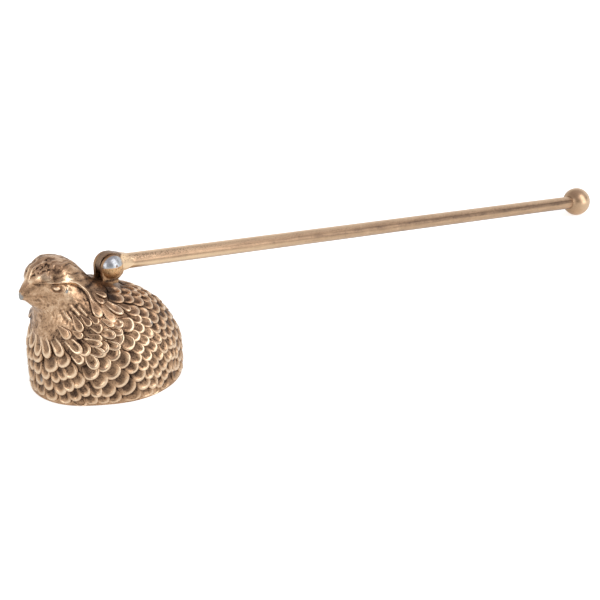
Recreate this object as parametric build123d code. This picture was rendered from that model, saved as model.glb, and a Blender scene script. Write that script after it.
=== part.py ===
from build123d import *
import os
from math import asin, atan2, degrees, hypot

# All sizes are in millimetres. The bird looks along -X, the handle leaves along +X, and the bell's mouth is
# on the floor, centred on the origin.

# The hollow quail
body_length = 51.0
body_width = 46.0
back_height = 33.3
head_length = 17.5
head_width = 17.0
head_rise = 12.6
head_forward = 17.1
wall = 2.0
roof_thickness = 4.8
mouth_bevel = 0.6

# The crown cap, whose edge is the brow and then the side of the nape: rises are over the back
brow_depth = 0.5
brow_nose_forward = 29.5
brow_nose_rise = 6.9
brow_eye_forward = 21.4
brow_eye_rise = 7.4
brow_temple_forward = 14.6
brow_temple_rise = 5.6
mantle_side_forward = 11.4
mantle_side_rise = 0.7
mantle_tip_forward = 10.4
mantle_tip_drop = 4.5
mantle_back_forward = 4.6

# Beak and eyes: rises are over the back
beak_tip_forward = 29.5
beak_tip_rise = 2.5
beak_tip_width = 1.3
beak_tip_depth = 1.9
beak_middle_forward = 26.9
beak_middle_rise = 3.2
beak_middle_width = 4.6
beak_middle_depth = 6.6
beak_root_forward = 21.5
beak_root_rise = 4.3
beak_root_width = 9.6
beak_root_depth = 11.6
eye_radius = 1.3
eye_forward = 20.4
eye_rise = 4.8
eye_spacing = 14.0

# The hinge: its ears' side view is drawn about the rivet
hinge_back = 2.85
hinge_rise = 4.2
ear_radius = 3.9
ear_thickness = 1.15
heel_radius = 4.7
foot_back = 1.8
web_thickness = 0.8
recess_clearance = 0.05
slot_width = 3.0
swing_clearance = 0.3
rivet_radius = 1.5
rivet_fit_clearance = 0.02
rivet_running_clearance = 0.08
dome_radius = 3.85
dome_rise = 2.3
peened_radius = 2.6
peened_rise = 0.9

# The handle: its rivet hole lies a little under the rod's centre line
handle_length = 231.0
rod_radius = 2.5
eye_drop = 0.6
tongue_radius = 3.9
tongue_thickness = 2.4
tongue_length = 6.2
cheek_start = 5.4
cheek_length = 2.8
ball_radius = 5.6
spigot_depth = 7.0
spigot_fit_clearance = 0.05
spigot_end_clearance = 0.4

# One overrun for every cut
overrun = 1.0

# Plan ovals of the body: height share, then chest, tail and half-width shares
body_section_shares = [
    (0.00, -0.50, 0.50, 0.50),
    (0.12, -0.50, 0.505, 0.503),
    (0.30, -0.50, 0.50, 0.503),
    (0.48, -0.49, 0.467, 0.483),
    (0.63, -0.475, 0.406, 0.443),
    (0.78, -0.46, 0.312, 0.378),
    (0.90, -0.46, 0.177, 0.304),
    (1.00, -0.48, 0.025, 0.239),
]

# Plan ovals of the head: share of its rise, then face, nape and half-width shares about its centre
head_section_shares = [
    (0.21, -0.48, 0.73, 0.55),
    (0.49, -0.50, 0.50, 0.49),
    (0.77, -0.43, 0.31, 0.40),
    (0.93, -0.29, 0.12, 0.25),
    (1.00, -0.15, -0.04, 0.07),
]

# The cavity closes over its last full oval: height share, then outline share
roof_shares = [(0.965, 0.80), (1.00, 0.42)]

cavity_depth = back_height - roof_thickness
pin_height = back_height + hinge_rise
tongue_reach = tongue_radius + eye_drop
slot_depth = tongue_reach + swing_clearance
bracket_depth = slot_depth + web_thickness
bracket_width = slot_width + 2 * ear_thickness
droop = asin((pin_height - ball_radius) / hypot(handle_length, eye_drop)) + atan2(eye_drop, handle_length)


def plan_oval(height, front, back, half_width):
    """A flat oval at a height, from its front to its back."""
    return Pos((front + back) / 2, 0, height) * Ellipse((back - front) / 2, half_width)


def body_sections(height, inset, lowest_share, highest_share):
    """The body's ovals between two height shares, spread over a height and drawn in by an inset."""
    sections = []
    for height_share, front_share, back_share, width_share in body_section_shares:
        if lowest_share <= height_share <= highest_share:
            front = front_share * body_length + inset
            back = back_share * body_length - inset
            half_width = width_share * body_width - inset
            sections.append(plan_oval(height_share * height, front, back, half_width))
    return sections


def head_sections(inset):
    """The head's ovals, drawn in by an inset that fades toward the crown."""
    sections = []
    for height_share, front_share, back_share, width_share in head_section_shares:
        height = back_height + height_share * (head_rise - inset)
        faded_inset = 2 * width_share * inset
        front = front_share * head_length - head_forward + faded_inset
        back = back_share * head_length - head_forward - faded_inset
        half_width = width_share * head_width - faded_inset
        sections.append(plan_oval(height, front, back, half_width))
    return sections


def make_smooth_bird():
    """Body, neck and face as one smooth form on a flat foot."""
    return loft(body_sections(back_height, 0, 0, 1) + head_sections(brow_depth))


def make_crown_cap():
    """The crown and nape, which stand proud of the face and end in a drop on each side of the neck."""
    first_share = body_section_shares[4][0]
    swollen = loft(body_sections(back_height, -brow_depth, first_share, 1) + head_sections(0))
    nose = (-brow_nose_forward, back_height + brow_nose_rise)
    tip = (-mantle_tip_forward, back_height - mantle_tip_drop)
    brow = Spline(
        nose,
        (-brow_eye_forward, back_height + brow_eye_rise),
        (-brow_temple_forward, back_height + brow_temple_rise),
        (-mantle_side_forward, back_height + mantle_side_rise),
        tip,
    )
    above = back_height + head_rise + overrun
    rest = Polyline(
        tip,
        (-mantle_back_forward, back_height),
        (-mantle_back_forward, above),
        (-brow_nose_forward, above),
        nose,
    )
    region = extrude(Plane.XZ * make_face(brow + rest), body_width / 2, both=True)
    return swollen & region


def beak_section(forward, rise, width, depth):
    """One upright oval of the beak."""
    return Plane((-forward, 0, back_height + rise), z_dir=(-1, 0, 0)) * Ellipse(depth / 2, width / 2)


def make_beak():
    """A short, deep beak through three ovals."""
    return loft(
        [
            beak_section(beak_root_forward, beak_root_rise, beak_root_width, beak_root_depth),
            beak_section(beak_middle_forward, beak_middle_rise, beak_middle_width, beak_middle_depth),
            beak_section(beak_tip_forward, beak_tip_rise, beak_tip_width, beak_tip_depth),
        ]
    )


def make_cavity():
    """The bell's inside, straight from oval to oval, open at the mouth and closing in under the back."""
    last_share, front_share, back_share, width_share = body_section_shares[-2]
    sections = body_sections(cavity_depth, wall, 0, last_share)
    front = front_share * body_length + wall
    back = back_share * body_length - wall
    half_width = width_share * body_width - wall
    centre = (front + back) / 2
    for height_share, outline_share in roof_shares:
        roof_front = centre + (front - centre) * outline_share
        roof_back = centre + (back - centre) * outline_share
        roof_half_width = half_width * outline_share
        sections.append(plan_oval(height_share * cavity_depth, roof_front, roof_back, roof_half_width))
    mouth = extrude(sections[0], overrun, dir=(0, 0, -1))
    return loft(sections, ruled=True) + mouth


def make_hinge_recess():
    """The flat-bottomed seat cut into the back for the hinge bracket."""
    length = ear_radius + foot_back + 2 * recess_clearance
    width = bracket_width + 2 * recess_clearance
    centre = hinge_back + (foot_back - ear_radius) / 2
    bottom = pin_height - bracket_depth
    return Pos(centre, 0, bottom + bracket_depth / 2) * Box(length, width, bracket_depth)


def make_quail_bell():
    """The cast bird, hollowed from below into the bell that goes over the flame."""
    bird = make_smooth_bird() + make_crown_cap() + make_beak()
    for side in (-1, 1):
        bird += Pos(-eye_forward, side * eye_spacing / 2, back_height + eye_rise) * Sphere(eye_radius)
    rim = bird.faces().sort_by(Axis.Z)[0].edges()
    bird = chamfer(rim, mouth_bevel)
    return bird - make_cavity() - make_hinge_recess()


def make_ear_outline():
    """The bracket's side view about the rivet: round top, straight front, rounded heel and flat foot."""
    sides = Pos(0, -heel_radius / 2) * Rectangle(2 * ear_radius, heel_radius)
    heel = Circle(heel_radius) & (Circle(ear_radius) + sides)
    foot_length = ear_radius + foot_back
    foot_centre = (foot_back - ear_radius) / 2
    foot = Pos(foot_centre, -bracket_depth / 2) * Rectangle(foot_length, bracket_depth)
    return heel + foot


def make_hinge_bracket():
    """Two ears on a web, let into the back and brazed, with a slot for the handle's tongue."""
    block = extrude(Plane.XZ * make_ear_outline(), bracket_width / 2, both=True)
    slot_height = slot_depth + ear_radius + overrun
    slot_middle = slot_height / 2 - slot_depth
    slot = Pos(0, 0, slot_middle) * Box(2 * ear_radius + overrun, slot_width, slot_height)
    bore = Rot(90, 0, 0) * Cylinder(rivet_radius + rivet_fit_clearance, bracket_width + overrun)
    return Pos(hinge_back, 0, pin_height) * (block - slot - bore)


def make_rivet_head(radius, rise):
    """A domed head that stands on the XY plane."""
    sphere_radius = (radius**2 + rise**2) / (2 * rise)
    ball = Pos(0, 0, rise - sphere_radius) * Sphere(sphere_radius)
    above = Pos(0, 0, sphere_radius) * Box(2 * sphere_radius, 2 * sphere_radius, 2 * sphere_radius)
    return ball & above


def make_hinge_rivet():
    """The pin through the ears, domed on one side and peened over on the other."""
    seat = Pos(0, 0, bracket_width / 2)
    rivet = Cylinder(rivet_radius, bracket_width)
    rivet += seat * make_rivet_head(dome_radius, dome_rise)
    rivet += Rot(180, 0, 0) * seat * make_rivet_head(peened_radius, peened_rise)
    return Pos(hinge_back, 0, pin_height) * Rot(90, 0, 0) * rivet


def place_on_hinge(piece):
    """Turn a piece from the rod's own centre line, over the pin, to where it rests."""
    return Pos(hinge_back, 0, pin_height) * Rot(0, degrees(droop), 0) * Pos(0, 0, eye_drop) * piece


def make_rod_blank():
    """The round rod, with two flats filed down to the tongue at the hinge end."""
    rod_end = handle_length - ball_radius + spigot_depth
    rod = Pos(rod_end / 2, 0, 0) * Rot(0, 90, 0) * Cylinder(rod_radius, rod_end)
    half_tongue = tongue_thickness / 2
    clear = rod_radius + overrun
    cheek_end = cheek_start + cheek_length
    cheeks = make_face(
        Polyline(
            (cheek_start, -half_tongue),
            (cheek_end, -rod_radius),
            (cheek_end, -clear),
            (rod_end, -clear),
            (rod_end, clear),
            (cheek_end, clear),
            (cheek_end, rod_radius),
            (cheek_start, half_tongue),
            close=True,
        )
    )
    return rod & extrude(cheeks, clear, both=True)


def make_handle_rod():
    """The rod with its hammered tongue, which swings on the rivet between the ears."""
    outline = make_hull((Circle(tongue_radius) + Pos(tongue_length, 0) * Circle(rod_radius)).edges())
    tongue = extrude(Plane.XZ * outline, tongue_thickness / 2, both=True)
    eye = Rot(90, 0, 0) * Cylinder(rivet_radius + rivet_running_clearance, tongue_thickness + overrun)
    return place_on_hinge(make_rod_blank() + tongue - Pos(0, 0, -eye_drop) * eye)


def make_ball_knob():
    """The ball at the handle's end, drilled for the rod."""
    bore_start = handle_length - ball_radius - overrun
    bore_length = overrun + spigot_depth + spigot_end_clearance
    bore = Rot(0, 90, 0) * Cylinder(rod_radius + spigot_fit_clearance, bore_length)
    ball = Pos(handle_length, 0, 0) * Sphere(ball_radius)
    return place_on_hinge(ball - Pos(bore_start + bore_length / 2, 0, 0) * bore)


parts = {
    "quail_bell": make_quail_bell(),
    "hinge_bracket": make_hinge_bracket(),
    "hinge_rivet": make_hinge_rivet(),
    "handle_rod": make_handle_rod(),
    "ball_knob": make_ball_knob(),
}

os.makedirs("parts", exist_ok=True)
for name, shape in parts.items():
    export_step(shape, f"parts/{name}.step")
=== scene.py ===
import bpy
import numpy as np
from mathutils import Matrix, Vector


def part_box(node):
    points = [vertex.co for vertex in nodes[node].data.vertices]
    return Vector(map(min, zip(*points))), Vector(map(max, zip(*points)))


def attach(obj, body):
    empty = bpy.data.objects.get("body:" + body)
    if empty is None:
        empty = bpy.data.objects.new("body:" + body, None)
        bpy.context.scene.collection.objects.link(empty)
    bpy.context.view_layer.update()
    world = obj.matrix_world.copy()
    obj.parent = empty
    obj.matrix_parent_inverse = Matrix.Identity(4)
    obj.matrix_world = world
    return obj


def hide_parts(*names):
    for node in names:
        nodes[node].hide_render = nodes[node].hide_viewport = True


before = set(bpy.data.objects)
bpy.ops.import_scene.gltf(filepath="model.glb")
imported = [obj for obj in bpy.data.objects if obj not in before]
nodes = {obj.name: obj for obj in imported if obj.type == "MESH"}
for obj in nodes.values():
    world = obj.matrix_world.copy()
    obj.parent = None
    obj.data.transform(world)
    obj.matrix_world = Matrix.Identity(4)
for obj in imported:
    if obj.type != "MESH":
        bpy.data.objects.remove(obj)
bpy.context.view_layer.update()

# Lengths are in millimetres until a mesh or a material is made. The bird looks along -X, and its
# mouth is on the floor, centred on the origin, as in the solid.
mm = 0.001

# The bird's sizes, and its ovals as shares of them: height, front, back, half width. Under the
# hollow's roof: height, and how much of the last oval is left.
body_length, body_width, back_height = 51.0, 46.0, 33.3
head_length, head_width, head_rise, head_forward = 17.5, 17.0, 12.6, 17.1
wall, roof_thickness = 2.0, 4.8
body_section_shares = [
    (0.0, -0.5, 0.5, 0.5), (0.12, -0.5, 0.505, 0.503), (0.3, -0.5, 0.5, 0.503),
    (0.48, -0.49, 0.467, 0.483), (0.63, -0.475, 0.406, 0.443), (0.78, -0.46, 0.312, 0.378),
    (0.9, -0.46, 0.177, 0.304), (1.0, -0.48, 0.025, 0.239),
]
head_section_shares = [
    (0.21, -0.48, 0.73, 0.55), (0.49, -0.5, 0.5, 0.49), (0.77, -0.43, 0.31, 0.4),
    (0.93, -0.29, 0.12, 0.25), (1.0, -0.15, -0.04, 0.07),
]
cavity_shares = [(0.965, 0.8), (1.0, 0.42)]

# The beak: its tip and root (forward, height), half width and half depth at both, how full it is
# between them, and how far forward it reaches
beak_tip, beak_root = (29.75, 35.5), (22.3, 37.6)
beak_tip_size, beak_root_size = (0.9, 1.15), (4.6, 5.2)
beak_taper = 0.85
beak_reach = 29.42

# The chin slopes back from the beak to the breast: forward, height, and how round it is at foot
# and top. Above the top it runs back this many times as steeply.
chin_top, chin_foot = (29.0, 34.6), (22.9, 28.2)
chin_roundness = (6.5, 0.9)
chin_return = 4.0

# The part of the face that beak and chin draw forward, and how softly each joins it
face_forward, face_half_width = 17, 7
chin_blend, beak_blend = 1.6, 0.9

# How far feathers and bare skin stand over the cast ground, and how full breast and crown are
feather_relief, bare_relief = 0.85, 0.08
breast_fullness, dome_fullness, forehead_slack = 0.35, 0.5, 0.38

# The lower edge is rounded, and worn on both sides of the breast: degrees round from the beak
rim_roundness, rim_wear = 0.2, 1.2
rim_wear_middle, rim_wear_width = 56, 24

# The skin's columns and rows, and the height from which they are fine
column_count = 360
edge_rows, body_rows, head_rows = 7, 18, 150
sculpture_start = 20.0

# Where the head's carving fades in: height, side
neck_fade, cheek_fade = (26.5, 29.5), (3.0, 4.5)

# The brow, which becomes the cape's edge: forward, height
brow_line = [
    (27.0, 38.4), (25.6, 39.3), (24.6, 39.8), (22.7, 40.1), (20.8, 39.9), (19.0, 39.8),
    (16.4, 39.3), (14.6, 38.5), (13.3, 37.6), (11.8, 36.2), (11.1, 34.8), (11.1, 33.3),
    (10.9, 31.4), (10.5, 29.5)]

# The pitted hollow on each side of the forehead: forward, side
crest_edge = [
    (25.6, 1.0), (22.1, 1.4), (20.2, 2.6), (19.6, 4.4), (21.2, 5.2), (23.2, 4.3), (25.0, 2.6)]

# The eye: forward, height
eye_place = (20.6, 38.15)
eye_half_length, eye_half_height, eye_turn = 1.5, 0.95, 0.12

# Lines on the face (forward, height), then their relief and rub, and how wide both are
eye_folds = [([(18.5, 36.3), (17.2, 37.8)], (0.24, 0.45), (0.34, 0.36)),
             ([(17.9, 38.9), (16.4, 36.9)], (-0.16, -0.35), (0.3, 0.34))]
mouth = [([(29.0, 35.6), (26.6, 35.4), (24.6, 35.1), (22.8, 35.2), (21.4, 35.2)],
          (-0.09, -0.16), (0.3, 0.45))]

# The short quills of the throat: forward, height
throat_quills = [((17.4, 32.4), (16.1, 29.8)), ((15.3, 32.1), (14.0, 29.4)),
                 ((19.5, 30.5), (18.5, 28.1)), ((18.1, 30.5), (16.4, 26.4))]

# Places made brighter, partly by wear and partly as painted highlights, and darker ones, among them
# painted shade along the brow and beside the bracket's foot: forward, side, height, size, strength
worn_and_painted_light_places = [
    (17.2, 7.9, 40.8, 1.5, 0.3), (15.8, 7.9, 40.2, 1.2, 0.35), (23.0, 5.5, 41.7, 1.1, 0.45),
    (26.0, 0.9, 39.2, 1.1, 0.4), (16.8, 3.9, 44.9, 1.0, 0.18), (24.6, 4.0, 40.6, 0.9, 0.25),
    (20.9, 7.1, 41.1, 1.0, -0.3), (19.6, 6.3, 42.3, 1.4, -0.3), (9.0, 7.0, 36.0, 2.2, -0.28),
    (2.0, 4.0, 33.6, 5.0, -0.3), (13.0, 4.0, 42.0, 2.5, -0.12), (27.4, 1.2, 37.4, 1.1, -0.25),
    (25.2, 3.4, 39.7, 1.2, -0.5), (24.0, 4.8, 39.9, 1.1, -0.45), (21.5, 6.7, 41.2, 0.8, 0.4),
    (20.2, 5.9, 43.0, 1.2, -0.25)]

# Places worn to grey metal: forward, side, height, size
grey_places = [
    (30.0, 0.0, 35.2, 1.85), (17.8, 8.9, 36.9, 0.75), (-4.0, 17.2, 24.9, 0.75),
    (-6.7, 17.9, 22.7, 0.75), (25.4, 1.5, 6.3, 0.8)]

# How rubbed the cast ground is, and how much more so at the lower edge
ground_rub, rim_rub = 0.21, 0.36

# Where the coat starts: place round the bird from -1 at the breast to 1 at the tail, and the
# share of the back's height
coat_start = [(-1.0, 0.56), (-0.67, 0.575), (-0.45, 0.6), (-0.3, 0.66), (-0.18, 0.77),
              (-0.05, 0.84), (0.1, 0.915), (0.28, 0.955), (0.6, 0.975), (1.0, 0.98)]

# How steeply feathers lie, in degrees below level: at the side's foot, and what the place round
# the bird, the share of the back's height, the place squared and the product of both add
fall_terms = (83, 81, -72, 88, -67)
fall_limits = (20, 90)

# The coat's feathers: spacing along and across the way they lie, and their own size
feather_pitch, feather_spacing = 3.9, 4.2
feather_length, feather_width = 5.9, 5.1
feather_unevenness, feather_sway = 0.05, 0.09

# Their chains run to a height under the floor. Two nearer than one share of the spacing merge,
# and between two farther apart than the other a new one starts.
chain_rows, chain_end = 22, -6.0
merge_share, split_share = 0.6, 1.33
width_limits = (0.85, 1.32)
hinge_clearance, neck_clearance = 5.2, 2.1

# What is lower than the first height over the floor is gathered above the second
gather_height, least_height = 1.6, 0.05

# Neck feathers with a smooth drop: degrees round from the beak and height of the root, the same
# of the tip, width
cape_drops = [
    (96, 33.8, 74, 28.1, 3.6), (88, 30.9, 83, 26.2, 3.5), (101, 33.4, 96, 31.3, 2.5),
    (115, 34.6, 113, 32.4, 2.5), (58, 26.4, 68, 24.9, 3.8), (50, 30.0, 49, 24.7, 3.3),
    (25, 26.4, 38, 22.8, 3.8), (39, 25.0, 49, 23.2, 2.8), (52, 24.0, 64, 22.1, 2.8),
    (58, 29.4, 60, 26.4, 2.6), (66, 29.2, 68, 26.8, 2.5), (112, 30.6, 109, 27.6, 3.0),
    (73, 28.2, 80, 25.2, 2.6),
]

# Longer feathers of the breast and the side of the neck, with a hollow like the coat's
breast_feathers = [
    (47, 21.9, 63, 20.8, 3.0), (34, 22.2, 45, 18.2, 4.0), (20, 21.2, 28, 16.6, 4.6),
    (8, 21.2, 14, 14.8, 4.8), (47, 19.8, 63, 17.6, 3.7), (66, 24.4, 76, 22.4, 3.5),
    (101, 31.2, 98, 27.7, 3.4), (83, 26.8, 87, 24.8, 3.2), (37, 17.6, 45, 15.4, 3.6),
    (76, 25.0, 82, 22.6, 3.2), (64, 20.9, 76, 19.0, 3.4), (48, 18.0, 55, 13.2, 4.5),
]
middle_feathers = [(0, 20.4, 0, 14.0, 4.4)]

# A feather's rings from its hidden edge over the rim to the quill: share of the outline, lift, rub.
# The low rub on the hidden edge is partly patina and partly painted shade in the crevice, and the
# full rub on the rim partly wear and partly painted highlight.
coat_rings = [
    (1.0, -0.8, 0.0), (0.955, 0.46, 0.2), (0.86, 0.96, 0.92), (0.72, 1.04, 1.0),
    (0.56, 0.8, 0.72), (0.4, 0.34, 0.36), (0.0, 0.3, 0.42)]
# The drop's low rub over its raised middle is painted shade
drop_rings = [
    (1.0, -0.8, 0.0), (0.93, 0.52, 0.3), (0.8, 0.92, 1.0), (0.62, 1.02, 0.6),
    (0.36, 0.98, 0.34), (0.0, 1.0, 0.36)]

# Aged metals: bright, middle and dark colour on screen, grain scale, mottling, specks, and how
# rough they are where they are rubbed and where they aren't
looks = {
    "bird": ((250, 222, 189), (192, 155, 122), (62, 47, 40), 1.0, 0.42, 0.37, 0.17, 0.46),
    "bracket": ((224, 186, 144), (166, 130, 98), (48, 42, 40), 0.9, 0.36, 0.5, 0.28, 0.5),
    "steel": ((224, 226, 228), (168, 172, 178), (84, 88, 98), 0.75, 0.95, 0.25, 0.26, 0.42),
    "lower_brown": ((255, 226, 180), (222, 178, 130), (92, 66, 48), 0.75, 0.95, 0.8, 0.42, 0.6),
    "rod": ((252, 222, 184), (194, 162, 132), (70, 58, 54), 1.2, 0.2, 0.22, 0.3, 0.42),
    "ball": ((248, 220, 186), (202, 170, 138), (96, 70, 50), 0.5, 0.16, 0.08, 0.27, 0.4),
}
worn_grey, rivet_spot = (162, 160, 156), (112, 84, 62)
slot_half_width = 1.35

# The white room: the floor as it is seen and as metal mirrors it, and the walls
floor_glow, floor_glow_in_metal = 0.66, 0.3
white, room_light = (1, 1, 1, 1), (0.58, 0.58, 0.58, 1)
ceiling_colour, dim_colour = (0.53, 0.49, 0.51, 1), (0.26, 0.24, 0.23, 1)

# Lamps, in metres: name, place, what they are aimed at, size, watts
lamps = [("key", (0.47, -0.82, 0.55), (0.05, 0, 0.02), (0.7, 1.35), 5.6),
         ("side", (-0.95, -0.35, 0.4), (0.0, 0, 0.02), (0.35, 0.6), 1.6)]


def middle_of(node):
    """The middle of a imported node's box."""
    low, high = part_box(node)
    return [(a + b) / 2 / mm for a, b in zip(low, high)]


pin = [middle_of("hinge_rivet")[0], 0.0, middle_of("hinge_rivet")[2]]
ball = middle_of("ball_knob")
droop = np.arctan2(pin[2] - ball[2], ball[0] - pin[0])


def monotone_curve(xs, ys, x):
    """A smooth curve through given points that doesn't overshoot between them."""
    step = np.diff(xs)
    slope = np.diff(ys) / step
    tangent = np.zeros(len(xs))
    tangent[0], tangent[-1] = slope[0], slope[-1]
    same = slope[:-1] * slope[1:] > 0
    before, after = np.where(same, slope[:-1], 1), np.where(same, slope[1:], 1)
    first, second = 2 * step[1:] + step[:-1], step[1:] + 2 * step[:-1]
    tangent[1:-1] = np.where(same, (first + second) / (first / before + second / after), 0)
    i = np.clip(np.searchsorted(xs, x) - 1, 0, len(xs) - 2)
    t = np.clip((x - xs[i]) / step[i], 0, 1)
    return (ys[i] * (1 + 2 * t) * (1 - t) ** 2 + step[i] * tangent[i] * t * (1 - t) ** 2
            + ys[i + 1] * t * t * (3 - 2 * t) + step[i] * tangent[i + 1] * t * t * (t - 1))


def outer_ovals():
    """Height, front, back and half width of the ovals, from mouth to crown."""
    body = np.array(body_section_shares) * (back_height, body_length, body_length, body_width)
    head = np.array(head_section_shares) * (head_rise, head_length, head_length, head_width)
    return np.concatenate([body, head + (back_height, -head_forward, -head_forward, 0)])


def inner_ovals():
    """The same for the hollow, a wall's thickness inside."""
    depth = back_height - roof_thickness
    shares = np.array(body_section_shares[:-1])
    walls = shares * (depth, body_length, body_length, body_width) + (0, wall, -wall, -wall)
    front, back, half_width = walls[-1, 1:]
    middle = (front + back) / 2
    roof = [(share * depth, between(middle, front, left), between(middle, back, left),
             half_width * left) for share, left in cavity_shares]
    return np.concatenate([walls, roof])


def between(first, second, share):
    """A share of the way from one value to another."""
    return first + (second - first) * share


def ease(first, last, value):
    """0 up to the first limit and 1 from the last on, whichever is higher."""
    t = np.clip((value - first) / (last - first), 0, 1)
    return t * t * (3 - 2 * t)


def bump(distance, width):
    """A rounded ridge profile."""
    return np.exp(-((distance / width) ** 2))


def size_of(vectors):
    return np.linalg.norm(vectors, axis=-1)


def unit(vectors):
    return vectors / np.maximum(size_of(vectors)[..., None], 1e-9)


ovals = outer_ovals()
crown_height = ovals[-1, 0]


def oval_at(height):
    """Centre, half length and half width of the plan oval at any height."""
    heights, *sides = ovals.T
    front, back, half_width = (monotone_curve(heights, side, height) for side in sides)
    return (front + back) / 2, (back - front) / 2, half_width


def oval_points(centre, half_length, half_width, turn, height):
    return np.stack([centre + half_length * np.cos(turn), half_width * np.sin(turn), height], -1)


def turn_at(points):
    """How far round points are, on the near side, and the oval's half sizes there."""
    centre, half_length, half_width = oval_at(points[:, 2])
    side, ahead = -np.abs(points[:, 1]) / half_width, (points[:, 0] - centre) / half_length
    return np.arctan2(side, ahead), half_length, half_width


def depth_inside(points):
    """Below 0 inside the plain form and above 0 outside."""
    centre, half_length, half_width = oval_at(points[:, 2])
    return ((points[:, 0] - centre) / half_length) ** 2 + (points[:, 1] / half_width) ** 2 - 1


def slope_out(points):
    """The way in which depth_inside grows, with its size."""
    reach = 0.05
    return np.stack([(depth_inside(points + shift) - depth_inside(points - shift)) / (2 * reach)
                     for shift in np.eye(3) * reach], -1)


def onto_form(points):
    """Move points straight onto the plain form."""
    for _ in range(4):
        slope = slope_out(points)
        square = np.maximum((slope**2).sum(-1, keepdims=True), 1e-9)
        points = points - depth_inside(points)[:, None] * slope / square
    return points


def flow_at(points):
    """Which way feathers lie: tailward on the shoulder, turning down all round."""
    turn, half_length, half_width = turn_at(points)
    place = turn / (np.pi / 2) + 1
    rise = np.clip(points[:, 2] / back_height, 0, 1)
    side_foot, by_place, by_rise, by_square, by_both = fall_terms
    fall = side_foot + by_place * place + by_rise * rise + by_square * place**2
    fall = np.radians(np.clip(fall + by_both * place * rise, *fall_limits))
    near = points * (1, 0, 1) - np.abs(points) * (0, 1, 0)
    normal = unit(slope_out(near))
    level = unit(np.stack([-np.sin(turn) * half_length, np.cos(turn) * half_width, 0 * turn], -1))
    down = np.cross(normal, level)
    down *= -np.sign(down[:, 2:3])
    flow = np.cos(fall)[:, None] * level + np.sin(fall)[:, None] * down
    flow[:, 1] *= np.where(points[:, 1] > 0, -1, 1)
    return unit(flow)


def line_distance(points, line):
    """Signed distance of points from a line, how far along it they are, its length."""
    starts, ends = np.array(line[:-1]), np.array(line[1:])
    span = ends - starts
    length = size_of(span)
    offset = points[:, None] - starts
    t = np.clip((offset * span).sum(-1) / length**2, 0, 1)
    offset = offset - t[..., None] * span
    distance = size_of(offset)
    side = np.sign(span[:, 0] * offset[..., 1] - span[:, 1] * offset[..., 0])
    along = np.cumsum(length) - length + t * length
    nearest = distance.argmin(1), np.arange(len(points))
    return (side * distance).T[nearest], along.T[nearest], length.sum()


def value_noise(points, size, seed):
    """Smooth random values from -1 to 1, in blobs of a given size."""
    cells = 32
    table = np.random.default_rng(seed).uniform(-1, 1, (cells, cells, cells))
    cell = points / size
    low = np.floor(cell).astype(int)
    t = ease(0, 1, cell - low)
    total = np.zeros(len(points))
    for corner in np.ndindex(2, 2, 2):
        weight = np.prod(np.where(np.array(corner), t, 1 - t), axis=1)
        index = (low + np.array(corner)) % cells
        total += weight * table[index[:, 0], index[:, 1], index[:, 2]]
    return total


def inside_outline(points, outline):
    """Distance of points from a closed outline, above 0 inside it."""
    closed = outline + outline[:1]
    inside = np.zeros(len(points), bool)
    for (first_x, first_y), (next_x, next_y) in zip(closed[:-1], closed[1:]):
        crosses = (first_y > points[:, 1]) != (next_y > points[:, 1])
        reach = first_x + (points[:, 1] - first_y) * (next_x - first_x) / (next_y - first_y)
        inside ^= crosses & (points[:, 0] < reach)
    return np.where(inside, 1, -1) * np.abs(line_distance(points, closed)[0])


def rub_of_wear_and_painted_light(points):
    """How much brighter or darker these places make points, by wear, painted highlights and painted
    shade.
    """
    seen = np.abs(points) * (0, 1, 0) + points * (-1, 0, 1)
    return sum(strength * np.exp(-((seen - place) ** 2).sum(-1) / size**2)
               for *place, size, strength in worn_and_painted_light_places)


def grey_metal(points):
    """Where the brass is worn through to grey metal, with ragged edges."""
    grey = np.zeros(len(points))
    for forward, side, height, size in grey_places:
        distance = size_of(points - (-forward, -side, height))
        distance += 0.25 * size * value_noise(points, 0.5, seed=21)
        grey = np.maximum(grey, ease(size, 0.7 * size, distance))
    return grey


def both(relief, rub):
    """How strong a carved mark is in relief and in rub."""
    return np.array([[relief], [rub]])


def brow_form(view, forward, height):
    """The brow's bead, the groove under it, a dip with painted shade behind the bead and the cap's
    step; height over it; the cap.
    """
    below, along, _ = line_distance(view, brow_line)
    over = -below
    on_head = ease(*neck_fade, height) * ease(1.5, 5.0, forward)
    cap = ease(-0.25, 0.25, over) * ease(3.5, 6.0, forward)
    faint = 0.35 + 0.65 * ease(6.0, 9.0, along)
    bead = bump(over - 0.1, 0.32) * ease(0.5, 3.0, along) * faint
    groove = bump(over + 0.44, 0.24) * ease(3.0, 7.5, along)
    # Behind the bead: a shallow dip, darkened as painted shade
    dip_and_shade_behind = bump(over - 1.5, 0.7) * ease(9.0, 13.0, along)
    form = both(0.34, 0.55) * bead - both(0.3, 0.55) * groove - both(0.12, 0.26) * dip_and_shade_behind
    return (form + both(0.3, 0) * (cap - 1)) * on_head, over, cap * on_head


def crest_form(points, forward, side, height):
    """The forehead's pitted hollows and the ridges round them; the hollows."""
    top = ease(38.6, 40.2, height)
    depth = inside_outline(np.stack([forward, side], -1), crest_edge)
    hollow = ease(-0.1, 0.55, depth) * top
    pits = ease(-0.2, 0.35, value_noise(points, 0.42, seed=3))
    ridge = bump(depth + 0.26, 0.25) * top * ease(18.0, 20.5, forward)
    middle = ease(2.6, 1.4, side)
    ridges = (both(0.08, 0.25) + both(0.16, 0.32) * middle) * ridge
    return ridges + hollow * (both(-0.08, 0.1) - both(0.3, 0.72) * pits), hollow


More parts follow.
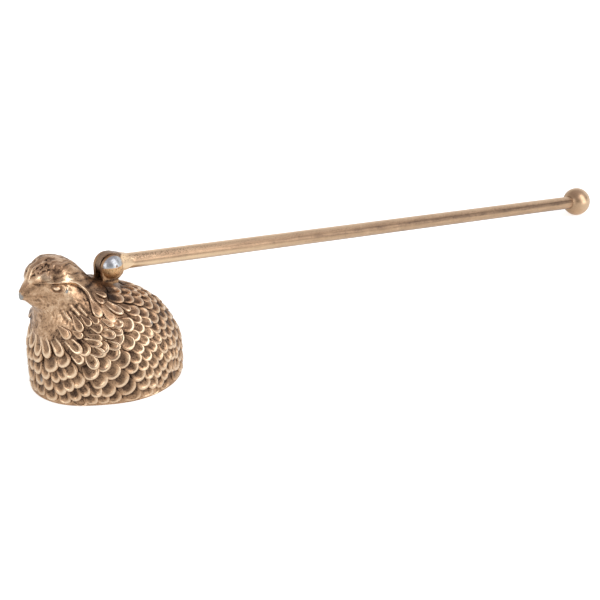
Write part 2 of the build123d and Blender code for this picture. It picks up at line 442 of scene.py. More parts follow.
def cap_form(points, forward, side, height, over, there):
    """Fine grooves that wander back over the crown and down the cape."""
    turn = np.arctan2(side, np.maximum(height - 34.5, 0.2))
    crown = ease(40.5, 43.0, height)
    wander = value_noise(points, 2.4, seed=5) + 0.5 * value_noise(points, 1.1, seed=7)
    lines = np.sin(turn * 25 + (1.0 + 2.6 * crown) * wander)
    there = there * ease(1.0, 6.0, forward) * ease(23.5, 21.0, forward)
    there *= ease(0.35, 1.3, over)
    there *= 0.55 + 0.45 * ease(-0.4, 0.6, value_noise(points, 3.0, seed=9))
    return there * (both(0.12, 0.18) * ease(0.2, 0.95, -lines)
                    - both(0.18, 0.4) * ease(0.55, 0.98, lines))


def carved_lines(view, lines):
    """Ridges and grooves along lines in side view."""
    return sum(both(*marks) * bump(line_distance(view, line)[0], both(*widths))
               for line, marks, widths in lines)


def eye_form(view, side):
    """A domed eyeball between two lids, and the small fold behind it."""
    gap = view - eye_place
    level = gap[:, 0] * np.cos(eye_turn) + gap[:, 1] * np.sin(eye_turn)
    rise = gap[:, 1] * np.cos(eye_turn) - gap[:, 0] * np.sin(eye_turn)
    across = np.hypot(level / eye_half_length, rise / eye_half_height)
    eyeball = ease(0.8, 0.35, across)
    socket = bump(across - 1.0, 0.24)
    lid = bump(across - 1.55, 0.24) * ease(0.4, -0.5, rise)
    # The eyeball's lighter rub is partly wear and partly a painted highlight
    form = both(0.2, 0.5) * eyeball - both(0.42, 0.4) * socket + both(0.18, 0.16) * lid
    return (form + carved_lines(view, eye_folds)) * ease(*cheek_fade, side)


def throat_form(points, view, side, height):
    """The line of the mouth, the throat's short quills and its fine down."""
    form = carved_lines(view, mouth)
    for line in throat_quills:
        distance, along, length = line_distance(view, line)
        taper = 0.55 + 0.45 * ease(0, 1, along / length)
        quill = both(0.3, 0.55) * bump(distance, both(0.26, 0.28) * taper)
        edges = both(0.15, 0.22) * bump(np.abs(distance) - both(0.66, 0.7), both(0.26, 0.3))
        form += (quill - edges) * ease(*cheek_fade, side)
    throat = ease(36.0, 33.0, height)
    down = value_noise(points * (1.6, 1.6, 0.7), 0.9, seed=13) * throat
    fluff = value_noise(points, 0.42, seed=17) * (0.45 + 0.55 * throat)
    return form + both(0.09, 0.14) * down + both(0.05, 0.2) * fluff + both(0, 0.04)


def head_sculpture(points):
    """The relief of head and neck over the plain skin, and its rub level, which holds wear, patina
    and painted light and shade.
    """
    forward, side, height = -points[:, 0], np.abs(points[:, 1]), points[:, 2]
    view = np.stack([forward, height], -1)
    brow, over, cap = brow_form(view, forward, height)
    crest, hollow = crest_form(points, forward, side, height)
    crown = cap_form(points, forward, side, height, over, cap * (1 - hollow))
    face = eye_form(view, side) + throat_form(points, view, side, height)
    below_cap = 1 - cap
    relief, rub_and_painted_light = brow + crest + crown + face * below_cap

    # The crown is fuller behind and in front of the brow than over it
    dome = cap * ease(36.5, 40.0, height) * ease(45.7, 43.8, height)
    back, front = ease(22.0, 17.0, forward), ease(22.5, 24.5, forward)
    brow_top = ease(18.0, 20.5, forward) * ease(23.0, 21.5, forward)
    slack = forehead_slack * brow_top * ease(41.0, 42.5, height)
    relief += (dome_fullness * (back + front) - slack) * dome

    # A painted shade band over the coat's edge, and mottling
    over_coat = height - coat_height(points)
    collar_shade = ease(-2.0, 1.0, over_coat) * ease(7.5, 4.5, over_coat) * ease(4.0, 8.0, side)
    mottled = 0.12 * value_noise(points, 1.3, seed=11)
    mottled += below_cap * (0.1 * value_noise(points, 0.5, seed=12) - 0.27 * collar_shade)
    return relief, np.clip(0.48 + rub_and_painted_light + mottled + rub_of_wear_and_painted_light(points), 0, 1)


def beak_forward(side, height):
    """Where the beak's surface is in front of points of the face, found by halving."""
    low, high = np.zeros(len(side)), np.ones(len(side))
    for _ in range(18):
        middle = (low + high) / 2
        half_width, half_depth = (between(tip, root, (1 - middle) ** beak_taper)
                                  for tip, root in zip(beak_tip_size, beak_root_size))
        depth = height - between(beak_root[1], beak_tip[1], middle)
        inside = np.hypot(side / half_width, depth / half_depth) < 1
        low, high = np.where(inside, middle, low), np.where(inside, high, middle)
    half_width, half_depth = beak_root_size
    covered = np.hypot(side / half_width, (height - beak_root[1]) / half_depth) < 1
    return np.where(covered, between(beak_root[0], beak_tip[0], low), -np.inf)


def chin_forward(side, height):
    """Where the chin's slope is in front of points of the face."""
    share = (height - chin_foot[1]) / (chin_top[1] - chin_foot[1])
    line = between(chin_foot[0], chin_top[0], share)
    line -= chin_return * np.maximum(share - 1, 0) * (chin_top[0] - chin_foot[0])
    return line - side**2 / (2 * between(*chin_roundness, np.clip(share, 0, 1)))


def soft_most(first, second, blend):
    """The larger of two values, eased where they meet."""
    share = np.clip(0.5 + 0.5 * (second - first) / blend, 0, 1)
    return between(first, second, share) + blend * share * (1 - share) * 0.5


def add_values(mesh, values, kind="FLOAT"):
    """Give a mesh named values for its points."""
    for name, numbers in values.items():
        field = mesh.attributes.new(name, kind, "POINT").data
        field.foreach_set("value" if kind == "FLOAT" else "vector", np.float32(numbers).ravel())


def add_object(name, data):
    """A new object in the scene."""
    piece = bpy.data.objects.new(name, data)
    bpy.context.scene.collection.objects.link(piece)
    return piece


def add_mesh(name, points, faces, values, size=mm):
    """A piece from points, with values for its points."""
    mesh = bpy.data.meshes.new(name)
    mesh.from_pydata((np.asarray(points) * size).tolist(), [], faces)
    mesh.update()
    mesh.shade_smooth()
    add_values(mesh, values)
    return add_object(name, mesh)


def grid_faces(rows, columns, first=0):
    """Faces between closed rows of points."""
    pairs = [(column, (column + 1) % columns) for column in range(columns)]
    return [(low + here, low + there, low + columns + there, low + columns + here)
            for low in range(first, first + (rows - 1) * columns, columns)
            for here, there in pairs]


def coat_top(turn):
    """The height at which the coat starts, round the bird."""
    places, rises = np.array(coat_start).T
    return monotone_curve(places, rises, turn / (np.pi / 2) + 1) * back_height


def coat_height(points):
    return coat_top(turn_at(points)[0])


def ground_depth(points):
    """How deep the cast ground lies under the form: deepest under the coat."""
    cover = ease(-3.0, 1.5, coat_height(points) - points[:, 2])
    return between(bare_relief, feather_relief, cover)


def worn_edge(points):
    """How far the rounded and worn lower edge lies inside the form."""
    below = np.clip(rim_roundness - points[:, 2], 0, rim_roundness)
    rounding = rim_roundness - np.sqrt(rim_roundness**2 - below**2)
    turn = np.degrees(np.arctan2(np.abs(points[:, 1]) / body_width, -points[:, 0] / body_length))
    wear = rim_wear * bump(turn - rim_wear_middle, rim_wear_width)
    return rounding + wear * ease(5.0, 0.0, points[:, 2])


def make_skin(angles):
    """The skin from rim to crown, with the beak, and how many rows it has."""
    edge = rim_roundness * (1 - np.cos(np.linspace(0, np.pi / 2, edge_rows)))
    body = np.linspace(rim_roundness, sculpture_start, body_rows)[1:-1]
    climb = np.sin(np.linspace(0, 1, head_rows) * np.pi / 2) ** 0.9
    head = between(sculpture_start, crown_height, climb)
    head[-1] = crown_height
    heights = np.concatenate([edge, body, head])
    tall, turn = (grid.ravel() for grid in np.meshgrid(heights, angles, indexing="ij"))
    points = oval_points(*oval_at(tall), turn, tall)
    inset = between(bare_relief / 2, ground_depth(points), ease(-0.5, 3.2, tall))
    points = points - unit(slope_out(points)) * (inset + worn_edge(points))[:, None]
    points[:len(angles), 2] = 0

    # The beak and the chin draw the middle of the face forward
    face = (points[:, 0] < -face_forward) & (np.abs(points[:, 1]) < face_half_width)
    face &= points[:, 2] > chin_foot[1] - 5
    own, side, height = -points[face, 0], points[face, 1], points[face, 2]
    drawn = soft_most(own, chin_forward(side, height), chin_blend)
    drawn = soft_most(drawn, np.maximum(beak_forward(side, height), drawn - 5), beak_blend)
    points[face, 0] = -np.clip(np.maximum(drawn, own), None, beak_reach)
    return points, len(heights)


def make_bell():
    """Skin, rim and hollow of the cast bird as one closed shell."""
    angles = np.linspace(0, 2 * np.pi, column_count, endpoint=False)
    points, rows = make_skin(angles)
    grid = points.reshape(rows, -1, 3)
    around = np.roll(grid, -1, axis=1) - np.roll(grid, 1, axis=1)
    normals = unit(np.cross(around, np.gradient(grid, axis=0))).reshape(-1, 3)
    relief, rub_and_painted_light = head_sculpture(points)
    shown = ease(-1.0, 2.5, points[:, 2] - coat_height(points))
    points = points + normals * (relief * shown)[:, None]
    points[:, 2] = np.clip(points[:, 2], 0, crown_height - 0.02)
    ground = ground_rub + rim_rub * ease(3.0, 0.8, points[:, 2])
    rub_and_painted_light = rub_and_painted_light * shown + ground * (1 - shown)

    inner = inner_ovals()
    cavity = np.concatenate([
        oval_points((front + back) / 2, (back - front) / 2, half_width, angles,
                    np.full(column_count, height)) for height, front, back, half_width in inner])
    ends = [points[-column_count:].mean(0), cavity[-column_count:].mean(0)]
    everything = np.concatenate([points, cavity, ends])
    start, top = len(points), (rows - 1) * column_count
    ceiling, crown = start + (len(inner) - 1) * column_count, len(everything) - 2
    faces = grid_faces(rows, column_count)
    faces += [face[::-1] for face in grid_faces(len(inner), column_count, start)]
    for column in range(column_count):
        following = (column + 1) % column_count
        faces.append((column, start + column, start + following, following))
        faces.append((top + column, top + following, crown))
        faces.append((ceiling + following, ceiling + column, crown + 1))
    rub_and_painted_light = np.concatenate([rub_and_painted_light, np.full(len(cavity), 0.2), [0.4, 0.2]])
    return add_mesh("quail", everything, faces, {"rub_and_painted_light": rub_and_painted_light, "grey": grey_metal(everything)})


def feather_shape(name, side, tip, rings, anchor, start, root):
    """One feather along +X, as rings from its outline in to its spine. At its root it starts with a
    share of its height and of its rub: the darker root is painted shade under the feather before
    it, and the rub that climbs to the tip is partly a painted highlight."""
    outline = np.array(side + tip + [(along, -across) for along, across in side[::-1]])
    along, across = outline.T
    share, lift, rub = np.array(rings).T[..., None]
    x = between(np.minimum(along, anchor), along, share)
    climb = between(start, 1, ease(-0.42, 0.36, x))
    lift = np.where(lift > 0, lift * climb, lift)
    points = np.stack([x, across * share, lift], -1).reshape(-1, 3)
    faces = grid_faces(len(rings), len(along)) + [tuple(range(len(along)))[::-1]]
    # Darker toward the root as painted shade, lighter toward the tip as wear and painted highlight
    rub_and_painted_light = rub * between(root, 1, climb**2)
    return add_mesh(name, points, faces, {"rub_and_painted_light": rub_and_painted_light, "lift": lift}, size=1)


def round_tip(middle, count):
    """Points round a feather's tip, from its left side to its right."""
    turns = np.linspace(0, np.pi, count)
    return [(middle + (0.5 - middle) * np.sin(turn), 0.5 * np.cos(turn)) for turn in turns]


def coat_feather(name, start, root):
    """A short scale-shaped feather with a broad raised rim round a shallow hollow."""
    side = [(-0.5, 0.36), (-0.2, 0.46)]
    return feather_shape(name, side, round_tip(0.07, 9), coat_rings, -0.05, start, root)


def drop_feather():
    """A long narrow feather that swells to a smooth drop at its tip."""
    side = [(-0.5, 0.06), (-0.3, 0.18), (-0.05, 0.37)]
    return feather_shape("drop_feather", side, round_tip(0.2, 7), drop_rings, 0.02, 0.02, 0.9)


def start_ring():
    """Where the coat's first feathers grow."""
    turn = np.linspace(-np.pi, 0, 400)
    height = coat_top(turn)
    side = oval_points(*oval_at(height), turn, height)
    closed = np.concatenate([side, side[-2:0:-1] * (1, -1, 1), side[:1]])
    gone = np.concatenate([[0], np.cumsum(size_of(np.diff(closed, axis=0)))])
    count = int(round(gone[-1] / feather_spacing / 2)) * 2
    marks = np.arange(count) / count * gone[-1]
    return np.stack([np.interp(marks, gone, closed[:, axis]) for axis in range(3)], -1)


def advance(points, distance):
    """Carry points along the flow over the form."""
    for _ in range(4):
        points = onto_form(points + flow_at(points) * distance / 4)
    return points


def gap_across(ring, flow):
    """How far each point of a ring is from the next, across the flow."""
    gaps = np.roll(ring, -1, axis=0) - ring
    return size_of(gaps - flow * (gaps * flow).sum(-1, keepdims=True))


def regroup(ring, late):
    """Merge chains that crowd each other and start new ones where they spread."""
    following = np.roll(ring, -1, axis=0)
    across = gap_across(ring, flow_at((ring + following) / 2))
    kept, marks = [], []
    for index, (here, there, gap) in enumerate(zip(ring, following, across)):
        if kept and gap < merge_share * feather_spacing and here[2] > 0 and index % 2:
            marks[-1] = 0.5
            continue
        kept.append(here)
        marks.append(late[index])
        if gap > split_share * feather_spacing and min(here[2], there[2]) > chain_end + 2:
            kept.append((here + there) / 2)
            marks.append((late[index] + late[(index + 1) % len(ring)]) / 2)
    return onto_form(np.array(kept)), np.array(marks)


def feather_seeds():
    """Chains of feathers along the flow, each half a feather behind its neighbours."""
    ring = onto_form(start_ring())
    late = np.arange(len(ring)) % 2.0
    seeds, widths = [], []
    for _ in range(chain_rows):
        quarter, half = (advance(ring, feather_pitch * share) for share in (0.25, 0.5))
        mark = late[:, None]
        chosen = np.where(mark > 0.75, half, np.where(mark > 0.25, quarter, ring))
        across = gap_across(ring, flow_at(ring))
        before = np.roll(across, 1)
        width = 0.7 * np.maximum(across, before) + 0.3 * np.minimum(across, before)
        shown = ring[:, 2] > chain_end + 1
        seeds.append(chosen[shown])
        widths.append(width[shown] / feather_spacing)
        alive = ring[:, 2:] > chain_end
        if not alive.any():
            break
        ring, late = regroup(np.where(alive, advance(ring, feather_pitch), ring), late)
    seeds, widths = np.concatenate(seeds), np.concatenate(widths)
    kept = np.hypot(seeds[:, 0] - pin[0], seeds[:, 1]) > hinge_clearance
    kept &= seeds[:, 2] > 0.4
    for middle in neck_places(cape_drops + breast_feathers, middle_feathers, 1.0)[0]:
        kept &= size_of(seeds - middle) > neck_clearance
    return seeds[kept], np.clip(widths[kept], *width_limits)


def coat_places():
    """Place, direction and size of each feather of the coat."""
    seeds, widths = feather_seeds()
    lie = flow_at(seeds)
    generator = np.random.default_rng(8)
    sway = generator.normal(0, feather_sway, len(seeds))[:, None]
    lie = unit(lie + sway * np.cross(unit(slope_out(seeds)), lie))
    growth = 1.05 - 0.08 * seeds[:, 2] / back_height + generator.normal(0, 0.03, len(seeds))
    breast = ease(0.3, 0.8, -seeds[:, 0] / (body_length / 2)) * bump(seeds[:, 2] - 17.5, 6.0)
    rise = 1.1 + breast_fullness * breast + generator.normal(0, 0.13, len(seeds))
    return seeds, lie, np.stack([growth, growth * widths, rise], -1)


def neck_point(turn, height):
    """A point of the form, by degrees round from the beak and height."""
    centre, half_length, half_width = oval_at(height)
    turn = np.radians(turn)
    return np.array([centre - half_length * np.cos(turn), -half_width * np.sin(turn), height])


def neck_places(pairs, middle, rise):
    """Place, direction and size of long feathers, on both sides and in the middle."""
    both = [(*pair, side) for pair in pairs for side in (1, -1)] + [(*pair, 1) for pair in middle]
    roots = np.array([neck_point(turn * side, height) for turn, height, *_, side in both])
    tips = np.array([neck_point(turn * side, height) for _, _, turn, height, _, side in both])
    sizes = [(size_of(tip - root) * 1.12 / feather_length, width / feather_width, rise)
             for root, tip, (*_, width, _) in zip(roots, tips, both)]
    return onto_form((roots + tips) / 2), unit(tips - roots), np.array(sizes)


def grow(places, shape, tree, seed):
    """Run the tree over some places and return the plain mesh."""
    points, lie, stretch = places
    ground = add_mesh("feather_ground", points, [], {})
    ways = {"outward": unit(slope_out(points)), "lie": lie, "stretch": stretch}
    add_values(ground.data, ways, "FLOAT_VECTOR")
    modifier = ground.modifiers.new("coat", "NODES")
    modifier.node_group = tree
    values = {"Feather": shape, "Seed": seed}
    for socket in tree.interface.items_tree:
        if socket.name in values:
            modifier[socket.identifier] = values[socket.name]
    seen = ground.evaluated_get(bpy.context.evaluated_depsgraph_get())
    mesh = bpy.data.meshes.new_from_object(seen)
    bpy.data.objects.remove(ground)
    bpy.data.objects.remove(shape)
    return mesh


def read_values(mesh, name, kind):
    """A mesh's values of one name as numbers."""
    return np.array([getattr(item, kind) for item in mesh.attributes[name].data], float)


def press_onto_form(mesh):
    """Bend feathers to the form, onto the cast ground, and gather them at the rim."""
    points = read_values(mesh, "position", "vector") / mm
    lift = read_values(mesh, "lift", "value") * read_values(mesh, "stretch", "vector")[:, 2]
    foot = onto_form(points)
    outward = unit(slope_out(foot))
    raised = lift * feather_relief - ground_depth(foot)

    # Feathers stay near the form, and nearer where they would widen the bird
    on_neck = ease(-3.0, 1.0, foot[:, 2] - coat_height(foot))
    narrower = ease(0.95, 0.8, np.abs(foot[:, 1]) / (body_width / 2))
    raised = np.minimum(raised, 0.04 + 0.9 * np.maximum(on_neck, 0.5 * narrower))
    points = foot + outward * raised[:, None]

    height = points[:, 2]
    drawn_in = np.exp((height - gather_height) / gather_height)
    gathered = between(least_height, gather_height, drawn_in)
    points[:, 2] = np.where(height < gather_height, gathered, height)
    points -= outward * worn_edge(np.column_stack([foot[:, :2], points[:, 2]]))[:, None]
    points[:, 2] = np.maximum(points[:, 2], 0.02)
    mesh.attributes["position"].data.foreach_set("vector", np.float32(points * mm).ravel())
    add_values(mesh, {"grey": grey_metal(points)})
    for name in ("outward", "lie", "stretch", "lift"):
        if name in mesh.attributes:
            mesh.attributes.remove(mesh.attributes[name])
    mesh.update()
    mesh.shade_smooth()


def lay_feathers(finish):
    """The coat, the breast's long feathers and the cape's drops, each as one mesh."""
    tree = feather_tree(finish)
    breast = neck_places(breast_feathers, middle_feathers, 1.22)
    drops = neck_places(cape_drops, [], 1.0)
    pieces = []
    for name, places, shape, seed in (
            ("quail_feathers", coat_places(), coat_feather("coat_feather", 0.28, 0.12), 4),
            ("quail_breast_feathers", breast, coat_feather("breast_feather", 0.04, 0.9), 6),
            ("quail_cape_drops", drops, drop_feather(), 9)):
        mesh = grow(places, shape, tree, seed)
        press_onto_form(mesh)
        pieces.append(add_object(name, mesh))
    return pieces


class Value:
    """A node's output. Plain sums with it add the nodes that do them."""

    def __init__(self, net, socket):
        self.net, self.socket = net, socket

    def __add__(self, other):
        return self.net.sums("ADD", self, other)

    def __sub__(self, other):
        return self.net.sums("SUBTRACT", self, other)

    def __mul__(self, other):
        return self.net.sums("MULTIPLY", self, other)

    def eased(self, low, high, start=0.0, end=1.0):
        """Eased from start to end, as this value goes from low to high."""
        given = {"Value": self, "From Min": low, "From Max": high, "To Min": start, "To Max": end}
        return self.net.node("ShaderNodeMapRange", "Result", given, interpolation_type="SMOOTHSTEP")

    def over(self, low, high, start=0.0, end=1.0):
        """The same for a length, with low and high in millimetres."""
        return self.eased(low * mm, high * mm, start, end)


class Net:
    """A node tree, with short ways to add to it."""

    def __init__(self, tree):
        self.tree = tree

    def feed(self, node, values):
        """Give a node's inputs their values, by link or as they are."""
        for name, value in values.items():
            if isinstance(value, Value):
                self.tree.links.new(value.socket, node.inputs[name])
            else:
                node.inputs[name].default_value = value

    def node(self, kind, outputs, values, **settings):
        """Add a node with settings and inputs, and return one output or a list."""
        node = self.tree.nodes.new(kind)
        for name, value in settings.items():
            setattr(node, name, value)
        self.feed(node, values)
        if isinstance(outputs, tuple):
            return [Value(self, node.outputs[name]) for name in outputs]
        return Value(self, node.outputs[outputs])

    def given(self):
        """The group's own inputs by name."""
        outputs = self.tree.nodes.new("NodeGroupInput").outputs
        return {socket.name: Value(self, socket) for socket in outputs}

    def sums(self, operation, *values, clamp=False):
        return self.node("ShaderNodeMath", 0, dict(enumerate(values)), operation=operation,
                         use_clamp=clamp)

    def mix(self, factor, first, second):
        return self.node("ShaderNodeMix", 2, {"Factor": factor, 6: first, 7: second},
                         data_type="RGBA")

    def noise(self, place, scale, detail=3.0, roughness=0.6):
        return self.node("ShaderNodeTexNoise", "Fac", {
            "Vector": place, "Scale": scale, "Detail": detail, "Roughness": roughness})

    def split(self, place):
        return self.node("ShaderNodeSeparateXYZ", ("X", "Y", "Z"), {"Vector": place})


def add_sockets(tree, way, kinds):
    """Give a node group its inputs or outputs, of several kinds."""
    for kind, names in kinds.items():
        for name in names:
            tree.interface.new_socket(name, in_out=way, socket_type="NodeSocket" + kind)


def feather_tree(finish):
    """Nodes that lay a feather on each seed point, a little different each time."""
    tree = bpy.data.node_groups.new("feather coat", "GeometryNodeTree")
    sockets = {"Geometry": ["Geometry"], "Object": ["Feather"], "Int": ["Seed"]}
    add_sockets(tree, "INPUT", sockets)
    add_sockets(tree, "OUTPUT", {"Geometry": ["Geometry"]})
    net = Net(tree)
    given = net.given()
    outward, lie, stretch = (
        net.node("GeometryNodeInputNamedAttribute", "Attribute", {"Name": name},
                 data_type="FLOAT_VECTOR") for name in ("outward", "lie", "stretch"))
    turn = net.node("FunctionNodeAxesToRotation", "Rotation",
                    {"Primary Axis": outward, "Secondary Axis": lie},
                    primary_axis="Z", secondary_axis="X")
    size = Vector((feather_length, feather_width, feather_relief)) * mm
    own = net.node("ShaderNodeVectorMath", "Vector", {0: size, 1: stretch}, operation="MULTIPLY")
    vary = net.node("FunctionNodeRandomValue", 1, {
        2: 1 - feather_unevenness, 3: 1 + feather_unevenness, "Seed": given["Seed"]},
        data_type="FLOAT")
    varied = net.node("ShaderNodeVectorMath", "Vector", {0: own, "Scale": vary}, operation="SCALE")
    shape = net.node("GeometryNodeObjectInfo", "Geometry", {"Object": given["Feather"]})
    laid = net.node("GeometryNodeInstanceOnPoints", "Instances", {
        "Points": given["Geometry"], "Instance": shape, "Rotation": turn, "Scale": varied})
    real = net.node("GeometryNodeRealizeInstances", "Geometry", {"Geometry": laid})
    painted = net.node("GeometryNodeSetMaterial", "Geometry",
                       {"Geometry": real, "Material": finish})
    net.node("NodeGroupOutput", (), {"Geometry": painted})
    return tree


def aged_metal_group():
    """Aged metal: dark where its level is low and bright where it is high, a level that holds
    patina in hollows, wear on high places and painted light and shade, with specks of old patina.
    """
    group = bpy.data.node_groups.new("aged metal", "ShaderNodeTree")
    add_sockets(group, "INPUT", {
        "Vector": ["Place"], "Color": ["Bright", "Middle", "Dark"],
        "Float": ["Rub And Painted Light", "Grain Scale", "Mottling", "Specks", "Rough High", "Rough Low"]})
    add_sockets(group, "OUTPUT", {"Color": ["Color"], "Float": ["Roughness", "Height"]})
    net = Net(group)
    given = net.given()
    rub_and_painted_light, rough_low = given["Rub And Painted Light"], given["Rough Low"]
    fine, broad, patches, dots = (
        net.noise(given["Place"], given["Grain Scale"] * per_metre, detail, roughness)
        for per_metre, detail, roughness in (
            (2300.0, 3.0, 0.65), (330.0, 4.0, 0.6), (75.0, 2.0, 0.5), (2300.0, 2.0, 0.5)))
    calm = rub_and_painted_light * -0.75 + 1.15
    grain = (fine - 0.5) * 2.4
    cloud = (broad + patches - 1.0) * 1.6
    uneven = (grain + cloud) * given["Mottling"] * calm
    speck = dots.eased(0.54, 0.62) * given["Specks"] * calm
    level = net.sums("SUBTRACT", rub_and_painted_light + uneven, speck, clamp=True)
    lower = net.sums("MULTIPLY", level, 2.0, clamp=True)
    upper = net.sums("SUBTRACT", level * 2.0, 1.0, clamp=True)
    net.node("NodeGroupOutput", (), {
        "Color": net.mix(upper, net.mix(lower, given["Dark"], given["Middle"]), given["Bright"]),
        "Roughness": rough_low - (rough_low - given["Rough High"]) * level,
        "Height": fine + broad * 0.6 - speck * 0.6})
    return group


aged_metal = aged_metal_group()


def srgb(red, green, blue):
    """A colour as seen on screen, in the linear values that shaders use."""
    values = [channel / 255 for channel in (red, green, blue)]
    linear = [v / 12.92 if v <= 0.04045 else ((v + 0.055) / 1.055) ** 2.4 for v in values]
    return (*linear, 1.0)


class Metal(Net):
    """A metal material's node tree."""

    def __init__(self, name):
        self.material = bpy.data.materials.new(name)
        self.material.use_nodes = True
        super().__init__(self.material.node_tree)

    def stored(self, name):
        return self.node("ShaderNodeAttribute", "Fac", {}, attribute_name=name)

    def place(self):
        return self.node("ShaderNodeTexCoord", "Object", {})

    def turned_place(self, centre, stretch=1.0):
        """The place from a centre and along the rod; a stretch draws patterns out along it."""
        return self.node("ShaderNodeMapping", "Vector", {
            "Vector": self.place(), "Location": Vector(centre) * mm,
            "Rotation": (0, droop, 0), "Scale": (stretch, 1, 1)}, vector_type="TEXTURE")

    def aged(self, look, place, rub_and_painted_light):
        """Colour, roughness and height of aged metal, with one of the looks."""
        names = ("Bright", "Middle", "Dark", "Grain Scale", "Mottling", "Specks", "Rough High",
                 "Rough Low")
        colours, numbers = [srgb(*colour) for colour in looks[look][:3]], looks[look][3:]
        values = {"Place": place, "Rub And Painted Light": rub_and_painted_light, **dict(zip(names, (*colours, *numbers)))}
        return self.node("ShaderNodeGroup", ("Color", "Roughness", "Height"), values,
                         node_tree=aged_metal)

    def finish(self, colour, roughness, height, strength, depth):
        """Feed the shader, with fine bumps from a height, and return the material."""
        normal = self.node("ShaderNodeBump", "Normal", {
            "Strength": strength, "Distance": depth * mm, "Height": height})
        self.feed(self.tree.nodes["Principled BSDF"], {
            "Base Color": colour, "Metallic": 1.0, "Roughness": roughness, "Normal": normal})
        return self.material


def cast_brass():
    """The bird: antique brass, worn bright on every rim and to grey in places, with painted light
    and shade in the level that sets its brightness.
    """
    net = Metal("antique cast brass")
    colour, roughness, height = net.aged("bird", net.place(), net.stored("rub_and_painted_light"))
    colour = net.mix(net.stored("grey"), colour, srgb(*worn_grey))
    return net.finish(colour, roughness, height, 0.5, 0.1)


def bracket_brass():
    """The ears: dark brass, with painted shade in the slot, a painted shadow over the foot and a
    painted highlight along the seat below it.
    """
    net = Metal("darkened bracket brass")
    place = net.place()
    _, across, height = net.split(place)
    across = net.sums("ABSOLUTE", across)
    # Painted shade in the slot, a painted shadow over the foot, and the seam a painted highlight
    # along the seat
    painted_slot_shade = across.over(slot_half_width + 0.02, slot_half_width + 0.18, 0.08, 0.62)
    shadow = height.over(back_height + 0.7, back_height + 0.2, 1.0, 0.4)
    seam = height.over(back_height - 0.45, back_height - 0.65, 0.0, 0.8)
    return net.finish(*net.aged("bracket", place, painted_slot_shade * (shadow + seam)), 0.45, 0.08)


def rivet_steel():
    """The rivet: scratched steel above, brown below a wavy line just over the pin's height, and a
    brown spot.
    """
    net = Metal("rubbed rivet steel")
    place = net.place()
    wobble = (net.noise(place, 420.0) - 0.5) * (0.5 * mm)
    brown = (net.split(place)[2] + wobble).over(pin[2] + 0.7, pin[2] + 0.52)
    spot = Vector((pin[0] + 0.15, -4.6, pin[2] + 1.0)) * mm
    gap = net.node("ShaderNodeVectorMath", "Value", {0: place, 1: spot}, operation="DISTANCE")
    colour, roughness, height = net.aged("steel", place, 0.62)
    colour = net.mix(brown, colour, net.aged("lower_brown", place, 0.58)[0])
    colour = net.mix((gap + wobble).over(0.55, 0.35), colour, srgb(*rivet_spot))
    return net.finish(colour, roughness + brown * 0.18, height, 0.35, 0.12)


def rod_brass():
    """The handle: brushed brass, worn in lines along it, with painted light and shade round it and
    painted shade on the tongue.
    """
    net = Metal("brushed rod brass")
    place = net.turned_place(pin)
    along, across, over = net.split(place)
    around = net.sums("ARCTAN2", over, across * -1.0)
    streaks = net.noise(net.turned_place(pin, 22.0), 1700.0)

    # Painted light and shade: lighter on top, a painted glint low on the side near the hinge, a
    # painted dark line between and painted shade below; also lighter near the hinge than toward the
    # ball
    brushed = (streaks - 0.5) * 0.4
    top = around.eased(0.8, 1.05, 0.0, 0.14)
    painted_low_glint = around.eased(0.3, 0.05) * around.eased(-0.5, -0.25)
    fade_and_painted_glint = along.over(20, 140, 0.08, -0.05) + painted_low_glint * along.over(90, 30, 0.0, 0.18)
    painted_dark_line = around.eased(-0.05, 0.3) * around.eased(0.85, 0.6, 0.0, 0.27)
    painted_bottom_shade = around.eased(-0.5, -1.0, 0.0, 0.32)

    # Freckled along the upper side, most near the hinge
    seam = around.eased(0.5, 0.85) * around.eased(1.45, 1.05)
    freckle = net.noise(place, 2100.0, 2.0, 0.5).eased(0.5, 0.6)
    near_hinge = along.over(48, 12)
    freckles = freckle * seam * near_hinge.eased(0.0, 1.0, 0.12, 0.42)

    # The cheeks are lighter, and the tongue between the ears is darkened as painted shade
    cheeks = along.over(9.5, 6.5, 0.0, 0.4) * around.eased(1.3, 0.9)
    base = (brushed + 0.62) + (top + fade_and_painted_glint) - (painted_dark_line + painted_bottom_shade) - freckles + cheeks
    tongue = along.over(3.3, 4.3)
    rub_and_painted_light = net.sums("MULTIPLY", base, tongue.eased(0.0, 1.0, 0.36, 1.0), clamp=True)
    colour, roughness, height = net.aged("rod", place, rub_and_painted_light)
    return net.finish(colour, roughness, height + streaks * 1.2, 0.22, 0.05)


def ball_brass():
    """The ball: polished brass, darkened toward the rod as painted shade, most at the seam where
    the rod goes in.
    """
    net = Metal("polished ball brass")
    place = net.turned_place(ball)
    # Painted shade: darker on the side toward the rod
    rub_and_painted_light = net.split(place)[0].over(-5.2, -0.5, 0.38, 0.66)
    return net.finish(*net.aged("ball", place, rub_and_painted_light), 0.14, 0.05)


def set_camera():
    """The photograph's viewpoint and angle of view."""
    place = Vector((-232.41, -377.57, 219.32)) * mm
    ahead = Vector((0.58585475, 0.70316471, -0.40290644))
    data = bpy.data.cameras.new("camera")
    data.lens, data.sensor_width, data.clip_start = 90, 36, 0.01
    camera = add_object("camera", data)
    turned = ahead.to_track_quat("-Z", "Y").to_matrix().to_4x4()
    camera.matrix_world = Matrix.Translation(place) @ turned
    bpy.context.scene.camera = camera


def add_lamp(name, place, aim, size, power):
    data = bpy.data.lights.new(name, "AREA")
    data.shape = "RECTANGLE"
    data.size, data.size_y = size
    data.energy = power
    lamp = add_object(name, data)
    lamp.location = place
    lamp.rotation_euler = (Vector(aim) - Vector(place)).to_track_quat("-Z", "Y").to_euler()


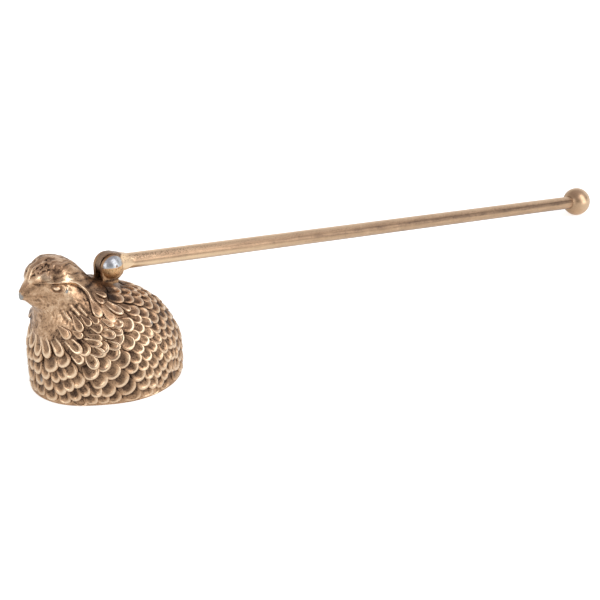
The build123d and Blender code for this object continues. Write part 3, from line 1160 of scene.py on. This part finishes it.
def shown_rays(net):
    """1 for rays that show a surface straight to the camera, and by way of metal."""
    seen, mirrored, through = net.node(
        "ShaderNodeLightPath", ("Is Camera Ray", "Is Glossy Ray", "Is Transmission Ray"), {})
    return seen, net.sums("MAXIMUM", mirrored, through)


def set_floor():
    """A white floor with the object's faint shadow."""
    corners = [(-1, -1, 0), (1, -1, 0), (1, 1, 0), (-1, 1, 0)]
    floor = add_mesh("floor", corners, [(0, 1, 2, 3)], {}, size=3.0)
    floor.location.z = -0.1 * mm
    material = bpy.data.materials.new("white floor")
    material.use_nodes = True
    net = Net(material.node_tree)
    seen, mirrored = shown_rays(net)
    net.feed(net.tree.nodes["Principled BSDF"], {
        "Base Color": (0.8, 0.8, 0.8, 1), "Roughness": 1.0, "Specular IOR Level": 0.0,
        "Emission Color": white,
        "Emission Strength": seen * floor_glow + mirrored * floor_glow_in_metal})
    floor.data.materials.append(material)


def set_world():
    """A white room. Metal shows it dimmer overhead and on the camera's side."""
    world = bpy.data.worlds.new("studio")
    bpy.context.scene.world = world
    world.use_nodes = True
    net = Net(world.node_tree)
    seen, mirrored = shown_rays(net)
    _, ahead, up = net.split(net.node("ShaderNodeTexCoord", "Generated", {}))
    band = up.eased(0.08, 0.26) * ahead.eased(-0.1, -0.45)
    room = net.mix(up.eased(0.35, 0.75), net.mix(band, white, dim_colour), ceiling_colour)
    lit = net.mix(mirrored, room_light, room)
    net.feed(net.tree.nodes["Background"], {"Color": net.mix(seen, lit, white)})


bpy.context.scene.view_settings.view_transform = "Standard"
set_camera()
set_floor()
set_world()
for lamp in lamps:
    add_lamp(*lamp)

brass = cast_brass()
bell = make_bell()
bell.data.materials.append(brass)
feathers = lay_feathers(brass)
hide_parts("quail_bell")
for piece in [bell] + feathers:
    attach(piece, "bell")

for node, finish in (("hinge_bracket", bracket_brass()), ("hinge_rivet", rivet_steel()),
                     ("handle_rod", rod_brass()), ("ball_knob", ball_brass())):
    nodes[node].data.materials.clear()
    nodes[node].data.materials.append(finish)
